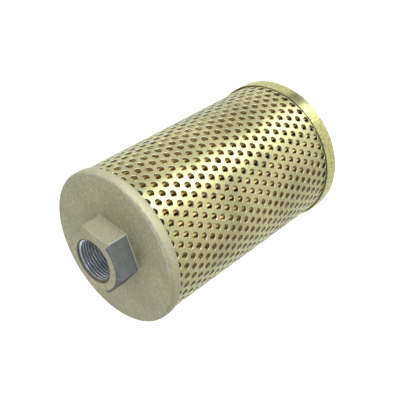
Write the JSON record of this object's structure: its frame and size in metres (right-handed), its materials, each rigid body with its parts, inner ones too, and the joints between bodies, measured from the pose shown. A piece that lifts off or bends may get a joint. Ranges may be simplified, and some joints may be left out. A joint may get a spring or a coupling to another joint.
{
  "type": "hydraulic filter",
  "caption": "Cylindrical hydraulic filter element: perforated tube over pleated media, pressed rear cap, cast front cap with a hexagon boss and a female pipe thread.",
  "frame": {"origin": "on the axis, at the middle of the rear cap's flat outer face, which the element stands on", "axes": "+Z along the axis towards the threaded port; +X through one corner of the hexagon boss"},
  "size_m": [0.118, 0.118, 0.205],
  "materials": {
    "cast_cap": "matt die casting, fine grain, olive grey",
    "zinc_pan": "yellow zinc, satin with fine streaks",
    "zinc_tube": "yellow zinc, bright",
    "media": "resin-soaked, golden brown",
    "clip_steel": "plain bright strip",
    "potting": "cast adhesive, dark"
  },
  "bodies": {
    "root": {"front_end_cap": "cast_cap", "rear_end_cap": "zinc_pan", "outer_tube": "zinc_tube", "core_tube": "zinc_tube", "pleated_media": "media", "media_clip": "clip_steel", "front_potting": "potting", "rear_potting": "potting"}
  },
  "joints": []
}
